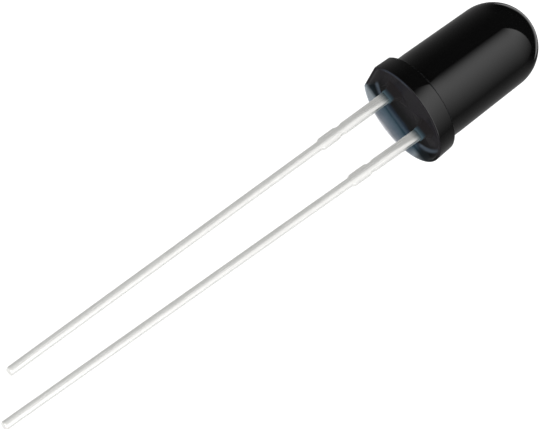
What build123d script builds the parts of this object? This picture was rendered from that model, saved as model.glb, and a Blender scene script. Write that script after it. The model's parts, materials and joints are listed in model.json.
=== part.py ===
from build123d import *
import os
from math import asin, atan, atan2, cos, hypot, radians, sin, tan

# Flame sensor: an infrared phototransistor with two leads in a 5 mm black epoxy body.
# It lies at rest on the plane z = 0, on the rim of its flange and on the tips of both leads.
# +X points to the dome, the short collector lead is on the +Y side, and +Z is up.
# Heights along the body are measured from the flange's base towards the dome.
# Lengths are in millimetres and angles in degrees.

# Epoxy body
body_length = 8.75
flange_diameter = 5.84
flange_thickness = 1.14
flange_draft = 4.0
flange_edge_radius = 0.12
flat_distance = 2.62
barrel_diameter = 4.92
barrel_land = 1.00
barrel_draft = 1.34
barrel_foot = 0.08
rim_width = 0.14
recess_depth = 0.55
recess_corner_radius = 0.60
meniscus_radius = 0.42
creep_thickness = 0.03
creep_width = 0.24
creep_top = -0.08
creep_bend = 0.30

# Lead frame
lead_pitch = 2.54
lead_thickness = 0.50
row_offset = 0.04
shank_width = 0.60
neck_width = 0.52
lug_width = 0.66
leg_width = 0.47
neck_distance = 3.00
neck_length = 0.34
lug_length = 1.16
shoulder_length = 0.16
tin_edge_radius = 0.07
collector_length = 25.54
emitter_length = 27.62
collector_lean = 0.41
emitter_lean = 1.35
root_depth = 0.35

# Die cup on the collector and bond post on the emitter
cup_height = 3.90
cup_diameter = 1.56
cup_wall = 0.14
cup_depth = 0.36
cup_floor_diameter = 0.86
cup_floor_thickness = 0.34
anvil_foot = 1.45
anvil_reach = 1.80
post_height = 3.95
post_foot = 1.60
post_gap = 0.28
post_width = 0.90
post_top_width = 0.54

# Die, its bond and the wire
die_side = 0.46
die_thickness = 0.20
attach_thickness = 0.025
attach_margin = 0.03
wire_diameter = 0.038
wire_flats = 8
ball_diameter = 0.10
ball_height = 0.03
pad_offset = 0.12
loop_rise = 0.46
loop_radius = 0.22

os.makedirs("parts", exist_ok=True)


def leg_point(root_y, lean, along, across):
    """A point of a leg, measured from its root along the leg and across it."""
    turn = radians(lean)
    x = root_depth - along * cos(turn) + across * sin(turn)
    y = root_y + along * sin(turn) + across * cos(turn)
    return x, y


def leg_edge(root_y, lean, length, side):
    """One long edge of a leg: shank, neck, dam-bar lug, then the thin leg to the tip."""
    neck_start = root_depth + neck_distance
    lug_start = neck_start + neck_length
    lug_end = lug_start + lug_length
    stations = [
        (0, shank_width),
        (neck_start, shank_width),
        (neck_start + shoulder_length, neck_width),
        (lug_start, neck_width),
        (lug_start + shoulder_length, lug_width),
        (lug_end, lug_width),
        (lug_end + shoulder_length, leg_width),
        (root_depth + length, leg_width),
    ]
    return [leg_point(root_y, lean, along, side * width / 2) for along, width in stations]


# Resting pose
# The rim and one corner of each lead's tip touch the surface. The roll brings both tips down
# together, the tilt brings them level with the rim, and the dome end points a little upwards.
collector_y = lead_pitch / 2
emitter_y = -lead_pitch / 2
flange_radius = flange_diameter / 2
half_lead = lead_thickness / 2
collector_tip = leg_point(collector_y, collector_lean, root_depth + collector_length, leg_width / 2)
emitter_tip = leg_point(emitter_y, emitter_lean, root_depth + emitter_length, leg_width / 2)
collector_reach = -collector_tip[0]
emitter_reach = -emitter_tip[0]
collector_side = collector_tip[1] - row_offset
emitter_side = emitter_tip[1] - row_offset
reach_difference = emitter_reach - collector_reach
roll_arm = emitter_reach * collector_side - collector_reach * emitter_side
roll_lift = reach_difference * half_lead
roll = asin(reach_difference * flange_radius / hypot(roll_arm, roll_lift)) - atan2(roll_lift, roll_arm)
tip_drop = flange_radius - emitter_side * sin(roll) - half_lead * cos(roll)
tilt = atan(tip_drop / emitter_reach)

# Dome
# The sphere is tangent to the drafted barrel and ends the body at its full length.
barrel_radius = barrel_diameter / 2
land_end = flange_thickness + barrel_land
draft = radians(barrel_draft)
dome_radius = (barrel_radius * cos(draft) - (body_length - land_end) * sin(draft)) / (1 - sin(draft))
dome_centre = body_length - dome_radius
dome_start = (dome_centre + dome_radius * sin(draft), dome_radius * cos(draft))
dome_middle_angle = (radians(90) - draft) / 2
dome_middle = (
    dome_centre + dome_radius * cos(dome_middle_angle),
    dome_radius * sin(dome_middle_angle),
)

# Planes
# The seat is the plane of the optical axis, with its origin at the centre of the flange's base.
# The lead frame lies in the same plane, moved a little towards the emitter side.
# The model's origin is on the surface, half-way between the dome's end and the longer lead's tip.
dome_end_x = dome_centre * cos(tilt) + dome_radius
tip_end_x = -emitter_reach * cos(tilt)
seat = Plane(
    origin=(-(dome_end_x + tip_end_x) / 2, 0, flange_radius * cos(tilt)),
    x_dir=(cos(tilt), 0, sin(tilt)),
    z_dir=(-cos(roll) * sin(tilt), sin(roll), cos(roll) * cos(tilt)),
)
frame_plane = Plane(
    origin=seat.from_local_coords((0, -row_offset, 0)), x_dir=seat.x_dir, z_dir=seat.z_dir
)
optical_axis = Axis(seat.origin, seat.x_dir)
cup_axis = Axis(frame_plane.origin, frame_plane.x_dir)


def height_plane(height, across=0):
    """A plane square to the body at a height, facing the dome, centred across the lead frame."""
    centre = frame_plane.from_local_coords((height, across, 0))
    return Plane(origin=centre, x_dir=frame_plane.y_dir, z_dir=frame_plane.x_dir)


# Legs
# The outer part of a lead: stamped from strip, cut from its dam bar, and rounded by the tin.
def stamped_leg(root_y, lean, length):
    with BuildPart() as leg:
        with BuildSketch(frame_plane):
            with BuildLine():
                Polyline(
                    *leg_edge(root_y, lean, length, 1),
                    *reversed(leg_edge(root_y, lean, length, -1)),
                    close=True,
                )
            make_face()
        extrude(amount=half_lead, both=True)
        wide_faces = leg.faces().filter_by(Axis(seat.origin, seat.z_dir))
        root_face = leg.faces().sort_by(optical_axis)[-1]
        fillet(wide_faces.edges() - root_face.edges(), tin_edge_radius)
    return leg.part


# Collector lead
# Its anvil reaches over to the body's centre, and the die cup is coined into the anvil's top.
cup_radius = cup_diameter / 2
cup_mouth_radius = cup_radius - cup_wall
cup_floor = cup_height - cup_depth
cup_floor_radius = cup_floor_diameter / 2
cup_foot_radius = cup_floor_radius + cup_wall
cup_underside = cup_floor - cup_floor_thickness
anvil_top = cup_floor - cup_floor_thickness / 2
shank_outside = lead_pitch / 2 + shank_width / 2
shank_inside = lead_pitch / 2 - shank_width / 2
collector_leg = stamped_leg(collector_y, collector_lean, collector_length)

with BuildPart() as collector_lead:
    with BuildSketch(frame_plane):
        with BuildLine():
            Polyline(
                (root_depth, shank_outside),
                (anvil_foot, shank_outside),
                (anvil_foot + anvil_reach - shank_outside, anvil_reach),
                (anvil_top - (anvil_reach - cup_radius) / 2, anvil_reach),
                (anvil_top, cup_radius),
                (anvil_top, -cup_foot_radius),
                (anvil_top - cup_foot_radius, -cup_foot_radius),
                (anvil_foot, shank_inside),
                (root_depth, shank_inside),
                close=True,
            )
        make_face()
    extrude(amount=half_lead, both=True)
    with BuildSketch(frame_plane):
        with BuildLine():
            Polyline(
                (cup_underside, 0),
                (cup_underside, cup_floor_radius),
                (anvil_top, cup_foot_radius),
                (cup_height, cup_radius),
                (cup_height, 0),
                close=True,
            )
        make_face()
    revolve(axis=cup_axis)
    with BuildSketch(frame_plane):
        with BuildLine():
            Polyline(
                (cup_floor, 0),
                (cup_floor, cup_floor_radius),
                (cup_height, cup_mouth_radius),
                (cup_height, 0),
                close=True,
            )
        make_face()
    revolve(axis=cup_axis, mode=Mode.SUBTRACT)
    add(collector_leg)
collector_lead.part.label = "collector_lead"
export_step(collector_lead.part, "parts/collector_lead.step")

# Emitter lead
# Its flag ends beside the cup in a flat top that takes the bond wire.
post_inside = cup_radius + post_gap
post_reach = post_inside + post_width
post_top_outside = post_inside + post_top_width
emitter_leg = stamped_leg(emitter_y, emitter_lean, emitter_length)

with BuildPart() as emitter_lead:
    with BuildSketch(frame_plane):
        with BuildLine():
            Polyline(
                (root_depth, -shank_outside),
                (post_foot, -shank_outside),
                (post_foot + post_reach - shank_outside, -post_reach),
                (post_height - (post_reach - post_top_outside), -post_reach),
                (post_height, -post_top_outside),
                (post_height, -post_inside),
                (post_foot + post_width / 2, -post_inside),
                (post_foot, -shank_inside),
                (root_depth, -shank_inside),
                close=True,
            )
        make_face()
    extrude(amount=half_lead, both=True)
    add(emitter_leg)
emitter_lead.part.label = "emitter_lead"
export_step(emitter_lead.part, "parts/emitter_lead.step")

# Die attach
# A thin pad of conductive adhesive between the die and the cup's floor.
with BuildPart() as die_attach:
    with BuildSketch(height_plane(cup_floor)):
        Rectangle(die_side + 2 * attach_margin, die_side + 2 * attach_margin)
    extrude(amount=attach_thickness)
die_attach.part.label = "die_attach"
export_step(die_attach.part, "parts/die_attach.step")

# Sensor die
# The sawn silicon chip. Its back is the collector contact.
die_seat = cup_floor + attach_thickness
die_top = die_seat + die_thickness

with BuildPart() as sensor_die:
    with BuildSketch(height_plane(die_seat)):
        Rectangle(die_side, die_side)
    extrude(amount=die_thickness)
sensor_die.part.label = "sensor_die"
export_step(sensor_die.part, "parts/sensor_die.step")

# Bond wire
# A ball bond on the die's emitter pad, then a loop over the cup's rim to the post's flat top.
# The round wire is drawn with flats, because it is finer than a hair.
post_pad_y = -(post_inside + post_top_outside) / 2
loop_top = max(die_top, post_height) + loop_rise

with BuildPart() as bond_wire:
    with BuildLine(frame_plane) as loop:
        FilletPolyline(
            (die_top, -pad_offset),
            (loop_top, -pad_offset),
            (loop_top, post_pad_y),
            (post_height, post_pad_y),
            radius=loop_radius,
        )
    with BuildSketch(height_plane(die_top, -pad_offset)):
        RegularPolygon(wire_diameter / 2, wire_flats)
    sweep(path=loop.line)
    with BuildSketch(height_plane(die_top, -pad_offset)):
        Circle(ball_diameter / 2)
    extrude(amount=ball_height)
bond_wire.part.label = "bond_wire"
export_step(bond_wire.part, "parts/bond_wire.step")

# Recess
# The resin sinks as it sets. Its meniscus climbs the mould's wall all round, along the flat too,
# and leaves a thin rim.
with BuildPart() as recess:
    with BuildSketch(Plane(origin=seat.origin, x_dir=seat.y_dir, z_dir=seat.x_dir)):
        Circle(flange_radius - rim_width)
        with Locations((flat_distance - rim_width, 0)):
            Rectangle(
                flange_radius, flange_diameter, align=(Align.MIN, Align.CENTER), mode=Mode.SUBTRACT
            )
    extrude(amount=recess_depth)
    fillet(recess.edges().filter_by(optical_axis), recess_corner_radius)
    recess_floor = recess.faces().sort_by(optical_axis)[-1]
    fillet(recess_floor.edges(), meniscus_radius)

# Epoxy body
# Cast in one piece around the lead frame. The casting side is the flange's base, where the
# resin also crept up both leads as it set.
flange_top_radius = flange_radius - flange_thickness * tan(radians(flange_draft))
creep_knee = recess_depth - creep_bend * (recess_depth - creep_top)


def creep_outline(height, root_y, margin):
    """The outline of the resin round a lead at one height, a margin outside the metal."""
    with BuildSketch(height_plane(height, root_y)) as outline:
        RectangleRounded(
            shank_width + 2 * margin, lead_thickness + 2 * margin, tin_edge_radius + margin
        )
    return outline.sketch


with BuildPart() as lens_body:
    with BuildSketch(seat) as section:
        with BuildLine():
            base = Line((0, 0), (0, flange_radius))
            side = Line(base @ 1, (flange_thickness, flange_top_radius))
            front = Line(side @ 1, (flange_thickness, barrel_radius))
            land = Line(front @ 1, (land_end, barrel_radius))
            taper = Line(land @ 1, dome_start)
            dome = ThreePointArc(taper @ 1, dome_middle, (body_length, 0))
            Line(dome @ 1, base @ 0)
        make_face()
        flange_edge = section.vertices().sort_by_distance((flange_thickness, flange_top_radius))[0]
        fillet(flange_edge, flange_edge_radius)
        barrel_corner = section.vertices().sort_by_distance((flange_thickness, barrel_radius))[0]
        chamfer(barrel_corner, barrel_foot)
    revolve(axis=optical_axis)
    with BuildSketch(Plane(origin=seat.origin, x_dir=seat.y_dir, z_dir=seat.x_dir)):
        with Locations((flat_distance, 0)):
            Rectangle(flange_radius, flange_diameter, align=(Align.MIN, Align.CENTER))
    extrude(amount=flange_thickness, mode=Mode.SUBTRACT)
    add(recess.part, mode=Mode.SUBTRACT)
    for root_y in (collector_y, emitter_y):
        loft(
            [
                creep_outline(recess_depth, root_y, creep_thickness + creep_width),
                creep_outline(creep_knee, root_y, creep_thickness + creep_bend * creep_width),
                creep_outline(creep_top, root_y, creep_thickness),
            ],
            ruled=True,
        )
    add(collector_lead.part, mode=Mode.SUBTRACT)
    add(emitter_lead.part, mode=Mode.SUBTRACT)
    add(die_attach.part, mode=Mode.SUBTRACT)
    add(sensor_die.part, mode=Mode.SUBTRACT)
    add(bond_wire.part, mode=Mode.SUBTRACT)
lens_body.part.label = "lens_body"
export_step(lens_body.part, "parts/lens_body.step")
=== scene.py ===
import json
import math

import bmesh
import bpy
from mathutils import Matrix, Vector


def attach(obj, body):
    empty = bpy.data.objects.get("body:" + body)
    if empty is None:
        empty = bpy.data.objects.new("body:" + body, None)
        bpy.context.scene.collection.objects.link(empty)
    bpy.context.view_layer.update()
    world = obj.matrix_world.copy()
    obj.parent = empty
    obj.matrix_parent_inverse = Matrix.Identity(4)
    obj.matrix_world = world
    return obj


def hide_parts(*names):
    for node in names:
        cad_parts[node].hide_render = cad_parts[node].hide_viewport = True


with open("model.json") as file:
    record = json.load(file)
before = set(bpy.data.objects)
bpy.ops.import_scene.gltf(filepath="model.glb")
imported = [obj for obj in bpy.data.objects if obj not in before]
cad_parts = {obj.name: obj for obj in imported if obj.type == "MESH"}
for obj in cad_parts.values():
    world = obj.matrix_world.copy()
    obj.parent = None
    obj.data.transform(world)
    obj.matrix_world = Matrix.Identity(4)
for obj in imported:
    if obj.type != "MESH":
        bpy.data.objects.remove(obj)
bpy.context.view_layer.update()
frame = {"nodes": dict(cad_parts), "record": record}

# Lead frame
# Two leads stamped from half-millimetre steel strip and dipped in tin. The anvil with its die cup and
# the bond post are inside the epoxy, and come from the model as they are. The legs get the tin's round
# edges and its slight crown, which is thickest in the middle of each face.
LEAD_PITCH = 2.54
LEAD_THICKNESS = 0.50
ROW_OFFSET = 0.04
ROOT_DEPTH = 0.35
COLLECTOR_LENGTH = 25.54
COLLECTOR_LEAN = 0.41
EMITTER_LENGTH = 27.62
EMITTER_LEAN = 1.35
SHANK_WIDTH = 0.60
NECK_WIDTH = 0.52
LUG_WIDTH = 0.66
LEG_WIDTH = 0.47
NECK_DISTANCE = 3.00
NECK_LENGTH = 0.34
LUG_LENGTH = 1.16
SHOULDER_LENGTH = 0.16
TIN_EDGE_RADIUS = 0.07
LEG_FACE_SLOPE = 19
SIDE_CROWN = 0.006
SIDE_SLOPE = 6
ROOT_OVERLAP = 0.01
ROOT_SHRINK = 0.9
FACE_STEPS = 6
EDGE_STEPS = 5
SHOULDER_STEPS = 6
TIP_STEPS = 5
WELD_DISTANCE = 0.0002
SHARP_ANGLE = 35

# Every piece shares one tilted seat, read from the mounts. It starts at the middle of the flange's base,
# and x runs to the dome, y to the short lead and z up. Sizes are in its millimetres, and slopes and leans
# in degrees.
MM = 0.001
mounts = {mount["name"]: mount for mount in frame["record"]["mounts"]}
to_dome = Vector(mounts["barrel"]["axis"]).normalized()
barrel_point = Vector(mounts["barrel"]["pos_m"])
rim_point = Vector(mounts["base_rim"]["pos_m"])
base_centre = barrel_point + to_dome * (rim_point - barrel_point).dot(to_dome)
upward = (rim_point - base_centre).normalized()
sideways = upward.cross(to_dome)
seat = Matrix.Translation(base_centre) @ Matrix((to_dome, sideways, upward)).transposed().to_4x4()


def section_quarter(width, thickness):
    """A quarter of a lead's section, from the middle of its wide face to near the middle of its side."""
    slope = math.radians(LEG_FACE_SLOPE * width / LEG_WIDTH)
    edge_turn = math.pi / 2 - slope - math.radians(SIDE_SLOPE)
    edge_y = width / 2 - SIDE_CROWN - TIN_EDGE_RADIUS
    face_radius = edge_y / math.sin(slope) + TIN_EDGE_RADIUS
    edge_z = thickness / 2 - (face_radius - TIN_EDGE_RADIUS) * (1 - math.cos(slope)) - TIN_EDGE_RADIUS
    points = []
    for step in range(FACE_STEPS):
        turn = slope * step / FACE_STEPS
        points.append((face_radius * math.sin(turn), thickness / 2 - face_radius * (1 - math.cos(turn))))
    for step in range(EDGE_STEPS + 1):
        turn = math.pi / 2 - slope - step * edge_turn / EDGE_STEPS
        points.append((edge_y + TIN_EDGE_RADIUS * math.cos(turn), edge_z + TIN_EDGE_RADIUS * math.sin(turn)))
    for share in (2 / 3, 1 / 3):
        points.append((width / 2 - SIDE_CROWN * share**2, edge_z * share))
    return points


def section_ring(along, width, thickness):
    """The whole section of a lead at one place along it."""
    first = section_quarter(width, thickness) + [(width / 2, 0.0)]
    second = [(y, -z) for y, z in reversed(first)][1:]
    third = [(-y, z) for y, z in reversed(first + second)][1:-1]
    return [Vector((along, y, z)) for y, z in first + second + third]


def skin(rings):
    """A closed mesh over rings of points that have the same count, with a cap at each end."""
    mesh = bmesh.new()
    rows = [[mesh.verts.new(point) for point in ring] for ring in rings]
    for row, following in zip(rows, rows[1:]):
        for i in range(len(row)):
            mesh.faces.new((row[i - 1], row[i], following[i], following[i - 1]))
    caps = [mesh.faces.new(rows[0]), mesh.faces.new(rows[-1])]
    bmesh.ops.poke(mesh, faces=caps)
    bmesh.ops.recalc_face_normals(mesh, faces=mesh.faces)
    return mesh


def solid(name, mesh):
    """A scene object made from a mesh."""
    data = bpy.data.meshes.new(name)
    mesh.to_mesh(data)
    mesh.free()
    thing = bpy.data.objects.new(name, data)
    bpy.context.scene.collection.objects.link(thing)
    return thing


def model_solid(name):
    """A copy of one node of the model as a closed mesh in the seat's millimetres."""
    mesh = bmesh.new()
    mesh.from_mesh(frame["nodes"][name].data)
    bmesh.ops.transform(mesh, matrix=(seat @ Matrix.Scale(MM, 4)).inverted(), verts=mesh.verts)
    bmesh.ops.remove_doubles(mesh, verts=mesh.verts, dist=WELD_DISTANCE)
    return mesh


def combine(thing, tool, operation):
    """Joins a tool to a solid, or cuts it away, and removes the tool."""
    modifier = thing.modifiers.new("combine", "BOOLEAN")
    modifier.operation = operation
    modifier.solver = "EXACT"
    modifier.object = tool
    graph = bpy.context.evaluated_depsgraph_get()
    data = bpy.data.meshes.new_from_object(thing.evaluated_get(graph))
    thing.modifiers.clear()
    thing.data = data
    bpy.data.objects.remove(tool)


def finish_piece(thing, node, material):
    """Shades a solid smooth up to its sharp edges, seats it in metres, and lets it stand for its node."""
    thing.data.transform(Matrix.Scale(MM, 4))
    thing.data.shade_smooth()
    thing.data.set_sharp_from_angle(angle=math.radians(SHARP_ANGLE))
    thing.data.materials.clear()
    thing.data.materials.append(material)
    thing.matrix_world = seat
    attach(thing, "root")
    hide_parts(node)


def leg_stations(length):
    """Places along a leg from its root with the width there, with eased shoulders and a rounded tip."""
    neck_start = ROOT_DEPTH + NECK_DISTANCE
    lug_start = neck_start + NECK_LENGTH
    lug_end = lug_start + LUG_LENGTH
    stations = [(ROOT_OVERLAP, SHANK_WIDTH)]
    widths = (SHANK_WIDTH, NECK_WIDTH, LUG_WIDTH, LEG_WIDTH)
    for start, before, after in zip((neck_start, lug_start, lug_end), widths, widths[1:]):
        for step in range(SHOULDER_STEPS + 1):
            share = step / SHOULDER_STEPS
            ease = share * share * (3 - 2 * share)
            stations.append((start + SHOULDER_LENGTH * share, before + (after - before) * ease))
    tip = ROOT_DEPTH + length
    for step in range(TIP_STEPS + 1):
        turn = math.radians(90 * step / TIP_STEPS)
        inset = TIN_EDGE_RADIUS * (1 - math.cos(turn))
        stations.append((tip - TIN_EDGE_RADIUS * (1 - math.sin(turn)), LEG_WIDTH - 2 * inset))
    return stations


def tinned_lead(name, root_y, lean, length, material):
    """One lead: the leg made afresh, joined to what the model has inside the epoxy."""
    shrunk = (SHANK_WIDTH * ROOT_SHRINK, LEAD_THICKNESS * ROOT_SHRINK)
    rings = [section_ring(-3 * ROOT_OVERLAP, *shrunk), section_ring(-ROOT_OVERLAP, *shrunk)]
    for along, width in leg_stations(length):
        inset = max(0.0, LEG_WIDTH - width)
        rings.append(section_ring(along, width, LEAD_THICKNESS - inset))
    leg = skin(rings)
    turn = math.radians(lean)
    leg_axis = Vector((-math.cos(turn), math.sin(turn), 0))
    leg_across = Vector((math.sin(turn), math.cos(turn), 0))
    axes = Matrix((leg_axis, leg_across, leg_axis.cross(leg_across))).transposed().to_4x4()
    root = Matrix.Translation((ROOT_DEPTH, root_y - ROW_OFFSET, 0))
    bmesh.ops.transform(leg, matrix=root @ axes, verts=leg.verts)
    bmesh.ops.recalc_face_normals(leg, faces=leg.faces)
    inside = model_solid(name)
    everything = inside.verts[:] + inside.edges[:] + inside.faces[:]
    cut = bmesh.ops.bisect_plane(
        inside, geom=everything, plane_co=(ROOT_DEPTH, 0, 0), plane_no=(1, 0, 0), clear_inner=True
    )
    rim_edges = [part for part in cut["geom_cut"] if isinstance(part, bmesh.types.BMEdge)]
    bmesh.ops.contextual_create(inside, geom=rim_edges)
    bmesh.ops.recalc_face_normals(inside, faces=inside.faces)
    lead = solid("tinned_" + name, inside)
    combine(lead, solid("leg", leg), "UNION")
    finish_piece(lead, name, material)
    return lead


def linear(hex_colour):
    """An sRGB hex colour as the linear red, green, blue and alpha that a shader takes."""
    channels = [int(hex_colour[i : i + 2], 16) / 255 for i in (1, 3, 5)]
    return [c / 12.92 if c <= 0.04045 else ((c + 0.055) / 1.055) ** 2.4 for c in channels] + [1.0]


def start_material(name):
    """A new node material, its tree and its surface shader."""
    material = bpy.data.materials.new(name)
    material.use_nodes = True
    tree = material.node_tree
    return material, tree, tree.nodes["Principled BSDF"]


def fill_inputs(tree, node, inputs):
    """Sets a node's inputs, or links them to a socket or to another node's first live output."""
    for key, value in inputs.items():
        if isinstance(value, bpy.types.Node):
            value = next(socket for socket in value.outputs if socket.enabled)
        if isinstance(value, bpy.types.NodeSocket):
            tree.links.new(value, node.inputs[key])
        else:
            node.inputs[key].default_value = value


def add_node(tree, kind, inputs, **settings):
    """Adds a node with its settings, and fills its inputs."""
    node = tree.nodes.new(kind)
    for name, value in settings.items():
        setattr(node, name, value)
    fill_inputs(tree, node, inputs)
    return node


def share_where(tree, *limits, most=1.0):
    """The share of a layer or a light, up to its most. It is full where every limit is passed, and each
    limit is a value with the place where it gives nothing and the place where it gives everything."""
    share = most
    for value, nothing, everything in limits:
        reached = add_node(
            tree,
            "ShaderNodeMapRange",
            {0: value, 1: nothing, 2: everything},
            interpolation_type="SMOOTHSTEP",
        )
        share = add_node(tree, "ShaderNodeMath", {0: share, 1: reached}, operation="MULTIPLY")
    return share


# Hot-dipped tin over steel: a bright grey-white metal under a thin frosted skin, so half of what it shows
# is mirrored and half is matte. The rolled faces mirror a soft band of light. They carry rolling streaks
# 1.4 mm long and 0.07 mm wide, and faint clouds of frozen tin 0.6 mm across. The sheared sides and ends
# are rough and matte. A thin film of the epoxy and a painted dark reflection of the black flange darken
# the roots, and the painted reflection reaches further along the sides that face away from the flat.
STREAKS_PER_MM = (0.7, 14, 14)
STREAK_DEPTH = 0.004
TIN_CLOUDS_PER_MM = 1.6
ROLLED_NORMAL_START = 0.35
ROLLED_NORMAL_FULL = 0.75
FILM_AND_PAINTED_REFLECTION_START = -0.60
FILM_AND_PAINTED_REFLECTION_FULL = -0.05
SIDE_PAINTED_REFLECTION_START = -1.35
SIDE_PAINTED_REFLECTION_FULL = -0.95
SIDE_PAINTED_REFLECTION_SHARE = 0.8
SIDE_NORMAL_START = -0.36
SIDE_NORMAL_FULL = -0.60
tin, tree, shader = start_material("hot_dipped_tin")
place = add_node(tree, "ShaderNodeTexCoord", {})
spot = add_node(tree, "ShaderNodeSeparateXYZ", {"Vector": place.outputs["Object"]})
facing = add_node(tree, "ShaderNodeSeparateXYZ", {"Vector": place.outputs["Normal"]})
streak_size = add_node(
    tree,
    "ShaderNodeMapping",
    {"Vector": place.outputs["Object"], "Scale": [count / MM for count in STREAKS_PER_MM]},
)
streaks = add_node(tree, "ShaderNodeTexNoise", {"Vector": streak_size, "Scale": 1.0, "Detail": 4.0})
clouds = add_node(
    tree,
    "ShaderNodeTexNoise",
    {"Vector": place.outputs["Object"], "Scale": TIN_CLOUDS_PER_MM / MM, "Detail": 3.0},
)
bare = add_node(
    tree, "ShaderNodeMix", {0: clouds, 6: linear("#e2e2df"), 7: linear("#efefec")}, data_type="RGBA"
)
toward_face = add_node(tree, "ShaderNodeMath", {0: facing.outputs["Z"]}, operation="ABSOLUTE")
rolled = share_where(tree, (toward_face, ROLLED_NORMAL_START, ROLLED_NORMAL_FULL))
mirrored = add_node(tree, "ShaderNodeMapRange", {0: rolled, 3: 0.05, 4: 0.40})
rolled_gloss = add_node(tree, "ShaderNodeMapRange", {0: streaks, 1: 0.3, 2: 0.7, 3: 0.20, 4: 0.30})
gloss = add_node(tree, "ShaderNodeMix", {0: rolled, 2: 0.6, 3: rolled_gloss}, data_type="FLOAT")
relief = add_node(
    tree, "ShaderNodeBump", {"Height": streaks, "Strength": 0.25, "Distance": STREAK_DEPTH * MM}
)
# A thin epoxy film and a painted dark reflection of the black flange darken the roots.
root_film_and_painted_reflection = share_where(tree, (spot.outputs["X"], FILM_AND_PAINTED_REFLECTION_START * MM, FILM_AND_PAINTED_REFLECTION_FULL * MM))
# The painted dark reflection of the flange reaches further along the sides that face away from the flat.
away_side = add_node(
    tree, "ShaderNodeMapRange", {0: facing.outputs["Y"], 1: SIDE_NORMAL_START, 2: SIDE_NORMAL_FULL}
)
side_reflection_reach = add_node(
    tree,
    "ShaderNodeMapRange",
    {0: spot.outputs["X"], 1: SIDE_PAINTED_REFLECTION_START * MM, 2: SIDE_PAINTED_REFLECTION_FULL * MM, 4: SIDE_PAINTED_REFLECTION_SHARE},
)
side_painted_reflection = add_node(tree, "ShaderNodeMath", {0: away_side, 1: side_reflection_reach}, operation="MULTIPLY")
film_and_painted_reflection = add_node(tree, "ShaderNodeMath", {0: root_film_and_painted_reflection, 1: side_painted_reflection}, operation="MAXIMUM")
# The film's teal grey, which also paints the flange's dark reflection.
tone = add_node(tree, "ShaderNodeMix", {0: film_and_painted_reflection, 6: bare, 7: linear("#4a5c63")}, data_type="RGBA")
fill_inputs(tree, shader, {"Base Color": tone, "Roughness": gloss, "Metallic": mirrored, "Normal": relief})

collector = tinned_lead("collector_lead", LEAD_PITCH / 2, COLLECTOR_LEAN, COLLECTOR_LENGTH, tin)
emitter = tinned_lead("emitter_lead", -LEAD_PITCH / 2, EMITTER_LEAN, EMITTER_LENGTH, tin)

# Sensor die and its pad
# The phototransistor is a chip sawn from polished silicon. It sits in the cup on a pad of silver-filled
# adhesive, which fixes it and carries its current. Both are sealed in the epoxy.


def dress_node(name, material):
    """Gives a node of the model its material."""
    slots = frame["nodes"][name].data.materials
    slots.clear()
    slots.append(material)


# Silver-filled adhesive: grey paste set hard, with a dull sparkle from flakes 0.01 mm across.
FLAKES_PER_MM = 100
adhesive, tree, shader = start_material("silver_filled_adhesive")
place = add_node(tree, "ShaderNodeTexCoord", {})
flakes = add_node(
    tree, "ShaderNodeTexVoronoi", {"Vector": place.outputs["Object"], "Scale": FLAKES_PER_MM / MM}
)
tone = add_node(
    tree, "ShaderNodeMix", {0: flakes, 6: linear("#c4c2bd"), 7: linear("#8f8d88")}, data_type="RGBA"
)
fill_inputs(tree, shader, {"Base Color": tone, "Metallic": 0.6, "Roughness": 0.55})
dress_node("die_attach", adhesive)

# Polished silicon: a dark blue-grey mirror, with a tint that drifts over 0.11 mm with its oxide film.
OXIDE_TINTS_PER_MM = 9
silicon, tree, shader = start_material("polished_silicon")
place = add_node(tree, "ShaderNodeTexCoord", {})
oxide = add_node(
    tree, "ShaderNodeTexNoise", {"Vector": place.outputs["Object"], "Scale": OXIDE_TINTS_PER_MM / MM}
)
tone = add_node(
    tree, "ShaderNodeMix", {0: oxide, 6: linear("#3d4257"), 7: linear("#5a5f70")}, data_type="RGBA"
)
fill_inputs(tree, shader, {"Base Color": tone, "Metallic": 0.7, "Roughness": 0.15})
dress_node("sensor_die", silicon)

# Bond wire
# A fine gold wire that joins the chip to the emitter's post. Its end is melted to a ball that is welded
# to the chip, and it loops over to the post. It too is sealed in the epoxy.

# Drawn gold: a warm yellow mirror, uneven in gloss from the drawing die's lines, 0.017 mm apart.
DIE_LINES_PER_MM = 60
gold, tree, shader = start_material("drawn_gold")
place = add_node(tree, "ShaderNodeTexCoord", {})
die_lines = add_node(
    tree, "ShaderNodeTexNoise", {"Vector": place.outputs["Object"], "Scale": DIE_LINES_PER_MM / MM}
)
gloss = add_node(tree, "ShaderNodeMapRange", {0: die_lines, 1: 0.3, 2: 0.7, 3: 0.15, 4: 0.3})
fill_inputs(tree, shader, {"Base Color": linear("#f0c468"), "Metallic": 1.0, "Roughness": gloss})
dress_node("bond_wire", gold)

# Epoxy body
# Infrared epoxy, near black, cast in a polished steel mould in one piece around the lead frame.
# It has a drafted flange and barrel, a dome that focuses the light on the chip, and at the casting side
# the hollow that the resin leaves as it shrinks and creeps up the mould's wall and both leads.
BODY_LENGTH = 8.75
FLANGE_RADIUS = 2.92
FLANGE_THICKNESS = 1.14
FLANGE_DRAFT = math.radians(4.0)
FLANGE_EDGE_RADIUS = 0.12
RIM_EDGE_RADIUS = 0.05
FLAT_DISTANCE = 2.62
BARREL_RADIUS = mounts["barrel"]["dims"]["r_mm"]
BARREL_LAND = 1.00
BARREL_DRAFT = math.radians(1.34)
BARREL_FOOT = 0.08
RIM_WIDTH = 0.14
RECESS_DEPTH = 0.55
RECESS_CORNER_RADIUS = 0.60
MENISCUS_RADIUS = 0.42
CREEP_THICKNESS = 0.03
CREEP_WIDTH = 0.24
CREEP_TOP = -0.08
CREEP_FLARE = 3.4
TURNING_STEPS = 192
DOME_STEPS = 48
DOME_TOP_ANGLE = 0.5
RIM_EDGE_STEPS = 4
FLANGE_EDGE_STEPS = 8
FOOT_STEPS = 6
RECESS_CIRCLE_STEPS = 144
RECESS_CORNER_STEPS = 9
MENISCUS_STEPS = 14
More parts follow.
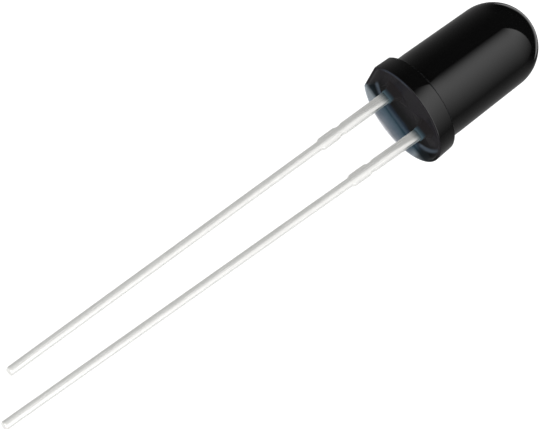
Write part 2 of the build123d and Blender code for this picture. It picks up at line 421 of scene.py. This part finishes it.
CREEP_STEPS = 24
CREEP_CORNER_STEPS = 6


def arc(centre, radius, start, end, steps):
    """Points of an arc of the body's section, as height and radius, between two angles in degrees."""
    turns = [math.radians(start + (end - start) * step / steps) for step in range(steps + 1)]
    return [(centre[0] + radius * math.cos(a), centre[1] + radius * math.sin(a)) for a in turns]


def flange_wall(height, inset):
    """The radius at a height of a line inside the flange's drafted wall, by how far inside."""
    return FLANGE_RADIUS - height * math.tan(FLANGE_DRAFT) - inset / math.cos(FLANGE_DRAFT)


land_end = FLANGE_THICKNESS + BARREL_LAND
dome_radius = BARREL_RADIUS * math.cos(BARREL_DRAFT) - (BODY_LENGTH - land_end) * math.sin(BARREL_DRAFT)
dome_radius = dome_radius / (1 - math.sin(BARREL_DRAFT))
edge_height = FLANGE_THICKNESS - FLANGE_EDGE_RADIUS
rim_edge_centre = (RIM_EDGE_RADIUS, flange_wall(RIM_EDGE_RADIUS, RIM_EDGE_RADIUS))
flange_edge_centre = (edge_height, flange_wall(edge_height, FLANGE_EDGE_RADIUS))
foot_centre = (FLANGE_THICKNESS + BARREL_FOOT, BARREL_RADIUS + BARREL_FOOT)
dome_centre = (BODY_LENGTH - dome_radius, 0)
wall_angle = 90 - math.degrees(FLANGE_DRAFT)
profile = [(0.0, FLANGE_RADIUS / 2)]
profile += arc(rim_edge_centre, RIM_EDGE_RADIUS, 180, wall_angle, RIM_EDGE_STEPS)
profile += arc(flange_edge_centre, FLANGE_EDGE_RADIUS, wall_angle, 0, FLANGE_EDGE_STEPS)
profile += arc(foot_centre, BARREL_FOOT, 180, 270, FOOT_STEPS)
profile += [(land_end, BARREL_RADIUS)]
profile += arc(dome_centre, dome_radius, 90 - math.degrees(BARREL_DRAFT), DOME_TOP_ANGLE, DOME_STEPS)
turns = [math.tau * step / TURNING_STEPS for step in range(TURNING_STEPS)]
body_rings = [[Vector((h, r * math.cos(a), r * math.sin(a))) for a in turns] for h, r in profile]
body = solid("epoxy_body", skin(body_rings))

flat_cutter = bmesh.new()
bmesh.ops.create_cube(flat_cutter, size=2 * FLANGE_RADIUS)
bmesh.ops.translate(
    flat_cutter,
    verts=flat_cutter.verts,
    vec=(foot_centre[0] - FLANGE_RADIUS, FLAT_DISTANCE + FLANGE_RADIUS, 0),
)
combine(body, solid("flat_cutter", flat_cutter), "DIFFERENCE")


def recess_ring(height, inset):
    """The recess's outline at a height: a circle with a flat and two round corners, drawn in by an inset."""
    corner_y = FLAT_DISTANCE - RIM_WIDTH - RECESS_CORNER_RADIUS
    circle_radius = FLANGE_RADIUS - RIM_WIDTH
    corner_z = math.sqrt((circle_radius - RECESS_CORNER_RADIUS) ** 2 - corner_y**2)
    corner_turn = math.atan2(corner_z, corner_y)
    corner_radius = RECESS_CORNER_RADIUS - inset
    corner = []
    for step in range(RECESS_CORNER_STEPS):
        turn = corner_turn * step / RECESS_CORNER_STEPS
        corner.append((corner_y + corner_radius * math.cos(turn), corner_z + corner_radius * math.sin(turn)))
    circle = []
    for step in range(RECESS_CIRCLE_STEPS + 1):
        turn = corner_turn + (math.tau - 2 * corner_turn) * step / RECESS_CIRCLE_STEPS
        circle.append(((circle_radius - inset) * math.cos(turn), (circle_radius - inset) * math.sin(turn)))
    mirrored = [(y, -z) for y, z in reversed(corner)]
    return [Vector((height, y, z)) for y, z in corner + circle + mirrored]


recess_rings = [recess_ring(-RIM_WIDTH, 0), recess_ring(RECESS_DEPTH - MENISCUS_RADIUS, 0)]
for step in range(1, MENISCUS_STEPS + 1):
    turn = math.radians(90 * step / MENISCUS_STEPS)
    height = RECESS_DEPTH - MENISCUS_RADIUS * (1 - math.sin(turn))
    recess_rings.append(recess_ring(height, MENISCUS_RADIUS * (1 - math.cos(turn))))
combine(body, solid("recess", skin(recess_rings)), "DIFFERENCE")


def creep_ring(height, centre_y, margin):
    """The outline at a height of the resin drawn up a lead: the lead's section, set out by a margin."""
    corner = TIN_EDGE_RADIUS + margin
    edge_y = SHANK_WIDTH / 2 - TIN_EDGE_RADIUS
    edge_z = LEAD_THICKNESS / 2 - TIN_EDGE_RADIUS
    points = []
    for turn_y, turn_z, start in ((1, 1, 0), (-1, 1, 90), (-1, -1, 180), (1, -1, 270)):
        for step in range(CREEP_CORNER_STEPS + 1):
            turn = math.radians(start + 90 * step / CREEP_CORNER_STEPS)
            y = centre_y + turn_y * edge_y + corner * math.cos(turn)
            points.append(Vector((height, y, turn_z * edge_z + corner * math.sin(turn))))
    return points


for root_y in (LEAD_PITCH / 2 - ROW_OFFSET, -LEAD_PITCH / 2 - ROW_OFFSET):
    creep_rings = [creep_ring(CREEP_TOP, root_y, CREEP_THICKNESS / 2)]
    for step in range(1, CREEP_STEPS + 1):
        share = step / CREEP_STEPS
        height = CREEP_TOP + (RECESS_DEPTH - CREEP_TOP) * share
        creep_rings.append(creep_ring(height, root_y, CREEP_THICKNESS + CREEP_WIDTH * share**CREEP_FLARE))
    creep_rings.append(creep_ring(RECESS_DEPTH + RIM_WIDTH, root_y, CREEP_THICKNESS + CREEP_WIDTH))
    combine(body, solid("creep", skin(creep_rings)), "UNION")

for lead in (collector, emitter):
    mesh = bmesh.new()
    mesh.from_mesh(lead.data)
    bmesh.ops.scale(mesh, vec=(1 / MM, 1 / MM, 1 / MM), verts=mesh.verts)
    combine(body, solid("pocket", mesh), "DIFFERENCE")
for name in ("die_attach", "sensor_die", "bond_wire"):
    combine(body, solid("pocket", model_solid(name)), "DIFFERENCE")

# Mould-polished epoxy: the dye leaves it near black, and the mould's polish gives it clear reflections,
# with a slight orange peel 0.7 mm across and a haze that comes and goes over 2 mm.
EPOXY_IOR = 1.55
PEEL_PER_MM = 1.4
PEEL_DEPTH = 0.004
HAZE_PER_MM = 0.5
polished, tree, shader = start_material("mould_polished_epoxy")
place = add_node(tree, "ShaderNodeTexCoord", {})
peel = add_node(
    tree,
    "ShaderNodeTexNoise",
    {"Vector": place.outputs["Object"], "Scale": PEEL_PER_MM / MM, "Detail": 2.0},
)
haze = add_node(
    tree,
    "ShaderNodeTexNoise",
    {"Vector": place.outputs["Object"], "Scale": HAZE_PER_MM / MM, "Detail": 4.0},
)
gloss = add_node(tree, "ShaderNodeMapRange", {0: haze, 1: 0.3, 2: 0.7, 3: 0.05, 4: 0.08})
relief = add_node(tree, "ShaderNodeBump", {"Height": peel, "Strength": 0.3, "Distance": PEEL_DEPTH * MM})
fill_inputs(
    tree,
    shader,
    {"Base Color": linear("#090909"), "IOR": EPOXY_IOR, "Roughness": gloss, "Normal": relief},
)

# Open-cast epoxy: the face that cured in the air, duller than the mould's, with ripples 0.25 mm across.
# It is black where the resin is thick. Where it is thin, the table's light that comes through it is painted
# into its colour in clouds 0.8 mm across: pale at the rim that lies on the table, then slate blue and teal.
# Painted light lines run where the hollow's curve meets its floor and along the top of the rim beside the
# flat.
CLOUDS_PER_MM = 1.3
RIPPLES_PER_MM = 4.0
RIPPLE_DEPTH = 0.01
LIGHT_FADES_ALONG = (0.925, -0.063, 0.374)
LIGHT_UNEVENNESS = 0.16
CURVE_LINE_RADIUS = 2.17
CURVE_LINE_WIDENING = 0.16
CURVE_LINE_LEAN = -0.025
LIT_RANGE = (-1.2, 0.0)
CREEP_RANGE = (-0.1, 0.4)
open_cast, tree, shader = start_material("open_cast_epoxy")
place = add_node(tree, "ShaderNodeTexCoord", {})
in_mm = add_node(
    tree, "ShaderNodeMapping", {"Vector": place.outputs["Object"], "Scale": (1 / MM, 1 / MM, 1 / MM)}
)
spot = add_node(tree, "ShaderNodeSeparateXYZ", {"Vector": in_mm})
spot_x, spot_y, spot_z = (spot.outputs[axis] for axis in "XYZ")
clouds = add_node(tree, "ShaderNodeTexNoise", {"Vector": in_mm, "Scale": CLOUDS_PER_MM, "Detail": 3.0})
ripple = add_node(tree, "ShaderNodeTexNoise", {"Vector": in_mm, "Scale": RIPPLES_PER_MM, "Detail": 2.0})
off_middle = add_node(tree, "ShaderNodeMath", {0: spot_y}, operation="ABSOLUTE")

# How far on its way through the resin the table's light is: about -1.1 mm at the rim that lies on the
# table, and 0 where it is lost.
fading = add_node(tree, "ShaderNodeVectorMath", {0: in_mm, 1: LIGHT_FADES_ALONG}, operation="DOT_PRODUCT")
cloudiness = add_node(tree, "ShaderNodeMath", {0: clouds, 1: 0.5}, operation="SUBTRACT")
through = add_node(
    tree, "ShaderNodeMath", {0: cloudiness, 1: LIGHT_UNEVENNESS, 2: fading}, operation="MULTIPLY_ADD"
)

# How far a place is from the painted light line where the hollow's curve meets its floor.
across = add_node(tree, "ShaderNodeCombineXYZ", {"Y": spot_y, "Z": spot_z})
radius = add_node(tree, "ShaderNodeVectorMath", {0: across}, operation="LENGTH")
curve_line = add_node(
    tree,
    "ShaderNodeMath",
    {0: off_middle, 1: CURVE_LINE_WIDENING, 2: CURVE_LINE_RADIUS},
    operation="MULTIPLY_ADD",
)
curve_line = add_node(
    tree, "ShaderNodeMath", {0: spot_y, 1: CURVE_LINE_LEAN, 2: curve_line}, operation="MULTIPLY_ADD"
)
off_line = add_node(tree, "ShaderNodeMath", {0: radius, 1: curve_line}, operation="SUBTRACT")
line_gap = add_node(tree, "ShaderNodeMath", {0: off_line}, operation="ABSOLUTE")

# How far a place is from the section of the nearer lead.
from_row = add_node(tree, "ShaderNodeMath", {0: spot_y, 1: ROW_OFFSET}, operation="ADD")
off_row = add_node(tree, "ShaderNodeMath", {0: from_row}, operation="ABSOLUTE")
from_lead = add_node(tree, "ShaderNodeMath", {0: off_row, 1: LEAD_PITCH / 2}, operation="SUBTRACT")
off_lead = add_node(tree, "ShaderNodeMath", {0: from_lead}, operation="ABSOLUTE")
side_gap = add_node(tree, "ShaderNodeMath", {0: off_lead, 1: SHANK_WIDTH / 2}, operation="SUBTRACT")
off_strip = add_node(tree, "ShaderNodeMath", {0: spot_z}, operation="ABSOLUTE")
face_gap = add_node(tree, "ShaderNodeMath", {0: off_strip, 1: LEAD_THICKNESS / 2}, operation="SUBTRACT")
lead_gap = add_node(tree, "ShaderNodeMath", {0: side_gap, 1: face_gap}, operation="MAXIMUM")


def painted_light_tones(value, span, tones):
    """The resin's colours with painted light through it, along a value in millimetres, from tones of a place
    and an sRGB hex colour.
    """
    low, high = span
    share = add_node(tree, "ShaderNodeMapRange", {0: value, 1: low, 2: high})
    node = add_node(tree, "ShaderNodeValToRGB", {"Fac": share})
    elements = node.color_ramp.elements
    while len(elements) < len(tones):
        elements.new(0.5)
    for element, (position, hex_colour) in zip(elements, tones):
        element.position = (position - low) / (high - low)
        element.color = linear(hex_colour)
    return node


# Painted light through thin resin, from the rim on the table inwards: across the middle, at the ends, and in
# the resin drawn up the leads, pale teal at its top and dark at the floor.
middle_light_tones = (
    (-1.10, "#d6d7dc"),
    (-0.93, "#848a92"),
    (-0.72, "#5d6a76"),
    (-0.51, "#43545f"),
    (-0.41, "#243844"),
    (-0.31, "#374652"),
    (-0.20, "#1e2b39"),
    (-0.08, "#0c0d0e"),
)
end_light_tones = (
    (-1.10, "#e0e1e6"),
    (-0.93, "#aab0b7"),
    (-0.60, "#959ea4"),
    (-0.50, "#636c72"),
    (-0.42, "#1f282d"),
    (-0.30, "#141a1e"),
    (-0.08, "#0c0d0e"),
)
creep_light_tones = ((-0.08, "#4c5d66"), (0.00, "#3a4a52"), (0.09, "#2c363d"), (0.20, "#232122"))
lit_middle = painted_light_tones(through, LIT_RANGE, middle_light_tones)
lit_ends = painted_light_tones(through, LIT_RANGE, end_light_tones)
creep_light_tone = painted_light_tones(spot_x, CREEP_RANGE, creep_light_tones)

# The lit edge's end away from the flat is in the part's own shade, and the dark floor turns from black to
# warm grey.
shaded_share = share_where(tree, (spot_y, -1.6, -1.95), most=0.65)
lit_ends = add_node(
    tree, "ShaderNodeMix", {0: shaded_share, 6: lit_ends, 7: linear("#1f2427")}, data_type="RGBA"
)
floor_tone = add_node(
    tree, "ShaderNodeMix", {0: clouds, 6: linear("#1e1e1d"), 7: linear("#27242a")}, data_type="RGBA"
)
deep_share = share_where(tree, (through, 0.0, 0.5))
dark_floor = add_node(
    tree, "ShaderNodeMix", {0: deep_share, 6: linear("#0c0d0e"), 7: floor_tone}, data_type="RGBA"
)

# The layers lie over the lit middle in this order, each within its limits in millimetres: the lit ends,
# the dark floor, the painted light line at the floor's edge, the wall behind the flat, kept free of the
# painted light, the painted light line on the rim, and the painted light in the resin drawn up the leads.
ends_share = share_where(tree, (off_middle, 1.2, 1.9))
floor_share = share_where(tree, (through, -0.14, -0.04))
# The painted light line where the hollow's curve meets its floor.
light_line_share = share_where(
    tree, (line_gap, 0.17, 0.02), (off_middle, 1.3, 1.6), (spot_z, -0.2, -0.9), (spot_x, 0.40, 0.50)
)
# The painted light stays off the wall behind the flat above its foot, which keeps the floor's dark tone.
flat_wall_share = share_where(tree, (spot_y, 2.10, 2.35), (spot_z, -1.0, -0.6))
# The painted light line along the top of the rim beside the flat.
rim_light_line_share = share_where(
    tree, (radius, 2.74, 2.82), (spot_y, 0.2, 0.7), (spot_z, 0.6, 1.4), (spot_y, 2.4, 1.9)
)
creep_share = share_where(tree, (lead_gap, 0.34, 0.24), (spot_x, 0.56, 0.52))
tone = lit_middle
for share, layer in (
    (ends_share, lit_ends),
    (floor_share, dark_floor),
    (light_line_share, linear("#434c56")),
    (flat_wall_share, floor_tone),
    (rim_light_line_share, linear("#2e323a")),
    (creep_share, creep_light_tone),
):
    tone = add_node(tree, "ShaderNodeMix", {0: share, 6: tone, 7: layer}, data_type="RGBA")
relief = add_node(tree, "ShaderNodeBump", {"Height": ripple, "Strength": 0.4, "Distance": RIPPLE_DEPTH * MM})
dullness = add_node(tree, "ShaderNodeMapRange", {0: clouds, 1: 0.3, 2: 0.7, 3: 0.30, 4: 0.40})
gloss = add_node(tree, "ShaderNodeMix", {0: creep_share, 2: dullness, 3: 0.95}, data_type="FLOAT")
fill_inputs(tree, shader, {"Base Color": tone, "Roughness": gloss, "Normal": relief})
fill_inputs(tree, shader, {"IOR": EPOXY_IOR, "Specular IOR Level": 0.04})

# In the photograph, white surroundings light the leads and the hollow evenly, so the black body is left
# out of the light that bounces onto them.
FACE_MARGIN = 0.02
RIM_NORMAL = -0.3
finish_piece(body, "lens_body", polished)
body.visible_glossy = False
body.visible_diffuse = False
body.data.materials.append(open_cast)
for face in body.data.polygons:
    height, face_y, face_z = face.center / MM
    inside_wall = math.hypot(face_y, face_z) < flange_wall(height, RIM_EDGE_RADIUS)
    in_hollow = inside_wall and face_y < FLAT_DISTANCE - FACE_MARGIN and height < RECESS_DEPTH + FACE_MARGIN
    on_rim = height < RIM_EDGE_RADIUS and face.normal.x < RIM_NORMAL
    face.material_index = int(on_rim or in_hollow)

# Table
# A sheet of white acrylic to lay the part on. It is lit from below and from the room until it has almost
# no tone of its own, and stays out of the mirrored light, which the next sections set.
TABLE_SIZE = 6000.0
table = bmesh.new()
bmesh.ops.create_grid(table, x_segments=1, y_segments=1, size=TABLE_SIZE * MM / 2)
table = solid("table", table)

# Opal acrylic: a matte white sheet that glows evenly, so that contact shadows all but vanish.
opal, tree, shader = start_material("opal_acrylic")
fill_inputs(tree, shader, {"Base Color": linear("#c8c8c8"), "Roughness": 0.9})
fill_inputs(tree, shader, {"Emission Color": linear("#ffffff"), "Emission Strength": 0.65})
table.data.materials.append(opal)
table.visible_glossy = False

# Room light
# An even white room. A black drape hangs behind the dome, so polished faces that look that way see only
# the side diffuser and a little light from the table, and those that look back see the white room.
LOW_GLOW = 0.30
ROOM_GLOW = 2.4
WHITE = (1.0, 1.0, 1.0, 1.0)
room = bpy.data.worlds.new("room")
room.use_nodes = True
bpy.context.scene.world = room
tree = room.node_tree
even = tree.nodes["Background"]
fill_inputs(tree, even, {"Color": WHITE, "Strength": 1.0})
direction = add_node(tree, "ShaderNodeTexCoord", {}).outputs["Generated"]
parts = add_node(tree, "ShaderNodeSeparateXYZ", {"Vector": direction})
ahead = add_node(tree, "ShaderNodeVectorMath", {0: direction, 1: tuple(to_dome)}, operation="DOT_PRODUCT")

# The table's light is stronger the lower a direction points, and the drape's foot hides it straight ahead.
low_glow = share_where(tree, (parts.outputs["Z"], 0.60, -1.20), (ahead, 0.75, 0.42), most=LOW_GLOW)

# The white room fills the directions above the table that look back, except for the side far from the
# camera.
room_glow = share_where(
    tree,
    (parts.outputs["Z"], -0.05, 0.20),
    (parts.outputs["Y"], 0.7, 0.0),
    (ahead, 0.33, 0.15),
    most=ROOM_GLOW,
)
glow = add_node(tree, "ShaderNodeMath", {0: low_glow, 1: room_glow}, operation="ADD")
reflected = add_node(tree, "ShaderNodeBackground", {"Color": WHITE, "Strength": glow})
ray = add_node(tree, "ShaderNodeLightPath", {})
choice = add_node(tree, "ShaderNodeMixShader", {0: ray.outputs["Is Glossy Ray"], 1: even, 2: reflected})
fill_inputs(tree, tree.nodes["World Output"], {"Surface": choice})

# Diffusion panel
# A white panel leans over the table from the emitter's side, with a lamp behind its middle. Its upper
# edge and its end draw the edge of the grey light on the barrel and the dome. Its sizes after the
# height are in parts of the height.
PANEL_HEIGHT = 600.0
PANEL_CORNER = Vector((0.383, 0.388, 1.0))
PANEL_ALONG = Vector((-0.9578, -0.2874, 0.0))
PANEL_DOWN = Vector((0.1748, -0.5837, -0.7930))
PANEL_LENGTH = 0.50
PANEL_DROP = 1.30
LAMP_PLACE = 0.67
LAMP_SPREAD = 0.36
LAMP_RADIANCE = 1.4
panel = bmesh.new()
panel_corners = ((0, 0), (PANEL_LENGTH, 0), (PANEL_LENGTH, PANEL_DROP), (0, PANEL_DROP))
panel.faces.new([panel.verts.new((x, y, 0)) for x, y in panel_corners])
panel = solid("side_diffuser", panel)
panel_axes = Matrix((PANEL_ALONG, PANEL_DOWN, PANEL_ALONG.cross(PANEL_DOWN))).transposed().to_4x4()
panel_start = Matrix.Translation(PANEL_CORNER * (PANEL_HEIGHT * MM) + base_centre)
panel.matrix_world = panel_start @ panel_axes @ Matrix.Scale(PANEL_HEIGHT * MM, 4)

# Lamp behind a diffuser: white light, brightest level with the lamp, that falls off softly up and down.
lit_panel, tree, shader = start_material("lamp_behind_diffuser")
tree.nodes.remove(shader)
place = add_node(tree, "ShaderNodeTexCoord", {})
spot = add_node(tree, "ShaderNodeSeparateXYZ", {"Vector": place.outputs["Object"]})
from_lamp = add_node(tree, "ShaderNodeMath", {0: spot.outputs["Y"], 1: LAMP_PLACE}, operation="SUBTRACT")
spread = add_node(tree, "ShaderNodeMath", {0: from_lamp, 1: LAMP_SPREAD}, operation="DIVIDE")
squared = add_node(tree, "ShaderNodeMath", {0: spread, 1: spread}, operation="MULTIPLY")
negative = add_node(tree, "ShaderNodeMath", {0: squared, 1: -1.0}, operation="MULTIPLY")
falloff = add_node(tree, "ShaderNodeMath", {0: negative}, operation="EXPONENT")
strength = add_node(tree, "ShaderNodeMath", {0: falloff, 1: LAMP_RADIANCE}, operation="MULTIPLY")
emission = add_node(tree, "ShaderNodeEmission", {"Strength": strength})
fill_inputs(tree, tree.nodes["Material Output"], {"Surface": emission})
panel.data.materials.append(lit_panel)
panel.visible_camera = False
panel.visible_shadow = False

# Bright end of the table
# The lit acrylic ahead of the dome, as far as the foot of the black drape. Only the dome's polished edge
# mirrors it, as a thin light rim.
BRIGHT_START = 13.5
BRIGHT_LENGTH = 8.0
BRIGHT_SIDE = 6.0
BRIGHT_RADIANCE = 0.8
ABOVE_TABLE = 0.1
ahead_flat = Vector((to_dome.x, to_dome.y, 0)).normalized()
across_flat = Vector((-ahead_flat.y, ahead_flat.x, 0))
bright = bmesh.new()
bright_corners = (
    (0, -BRIGHT_SIDE),
    (BRIGHT_LENGTH, -BRIGHT_SIDE),
    (BRIGHT_LENGTH, BRIGHT_SIDE),
    (0, BRIGHT_SIDE),
)
bright.faces.new([bright.verts.new((x * MM, y * MM, 0)) for x, y in bright_corners])
bright = solid("bright_table_end", bright)
bright_axes = Matrix((ahead_flat, across_flat, Vector((0, 0, 1)))).transposed().to_4x4()
bright_start = base_centre + ahead_flat * BRIGHT_START * MM
bright_start.z = ABOVE_TABLE * MM
bright.matrix_world = Matrix.Translation(bright_start) @ bright_axes

# Lit opal acrylic: white light that fades towards the drape.
lit_acrylic, tree, shader = start_material("lit_opal_acrylic")
tree.nodes.remove(shader)
place = add_node(tree, "ShaderNodeTexCoord", {})
spot = add_node(tree, "ShaderNodeSeparateXYZ", {"Vector": place.outputs["Object"]})
fade = add_node(
    tree,
    "ShaderNodeMapRange",
    {0: spot.outputs["X"], 1: 0.0, 2: BRIGHT_LENGTH * MM, 3: BRIGHT_RADIANCE, 4: 0.0},
)
emission = add_node(tree, "ShaderNodeEmission", {"Strength": fade})
fill_inputs(tree, tree.nodes["Material Output"], {"Surface": emission})
bright.data.materials.append(lit_acrylic)
bright.visible_camera = False
bright.visible_diffuse = False
bright.visible_shadow = False

# Camera
# A long lens, as close-up product pictures use, looking down on the casting side.
# The angles and the picture place of the flange's base were fitted to the photograph's outline.
PICTURE_WIDTH = 540
PICTURE_HEIGHT = 429
LENS_PIXELS = 7624
CAMERA_DISTANCE = 392.0
BASE_COLUMN = 401.90
BASE_ROW = 115.00
AWAY = math.radians(22.26)
TURN = math.radians(36.57)
SPIN = math.radians(9.55)
axis_seen = Vector((math.cos(AWAY) * math.cos(TURN), -math.cos(AWAY) * math.sin(TURN), math.sin(AWAY)))
square_seen = Vector((math.sin(TURN), math.cos(TURN), 0))
far_seen = axis_seen.cross(square_seen)
side_seen = -(math.cos(SPIN) * square_seen - math.sin(SPIN) * far_seen)
up_seen = -(math.sin(SPIN) * square_seen + math.cos(SPIN) * far_seen)
right, down, away = (
    axis_seen[i] * to_dome + side_seen[i] * sideways + up_seen[i] * upward for i in range(3)
)
distance = CAMERA_DISTANCE * MM
across = (BASE_COLUMN - PICTURE_WIDTH / 2) / LENS_PIXELS * distance
drop = (BASE_ROW - PICTURE_HEIGHT / 2) / LENS_PIXELS * distance
lens = bpy.data.cameras.new("camera")
lens.sensor_width = 36.0
lens.lens = LENS_PIXELS / PICTURE_WIDTH * lens.sensor_width
lens.clip_start = 0.01
lens.clip_end = 20.0
camera = bpy.data.objects.new("camera", lens)
bpy.context.scene.collection.objects.link(camera)
camera_place = base_centre - (across * right + drop * down + distance * away)
camera_axes = Matrix((right, -down, -away)).transposed().to_4x4()
camera.matrix_world = Matrix.Translation(camera_place) @ camera_axes
bpy.context.scene.camera = camera
bpy.context.scene.view_settings.view_transform = "Standard"
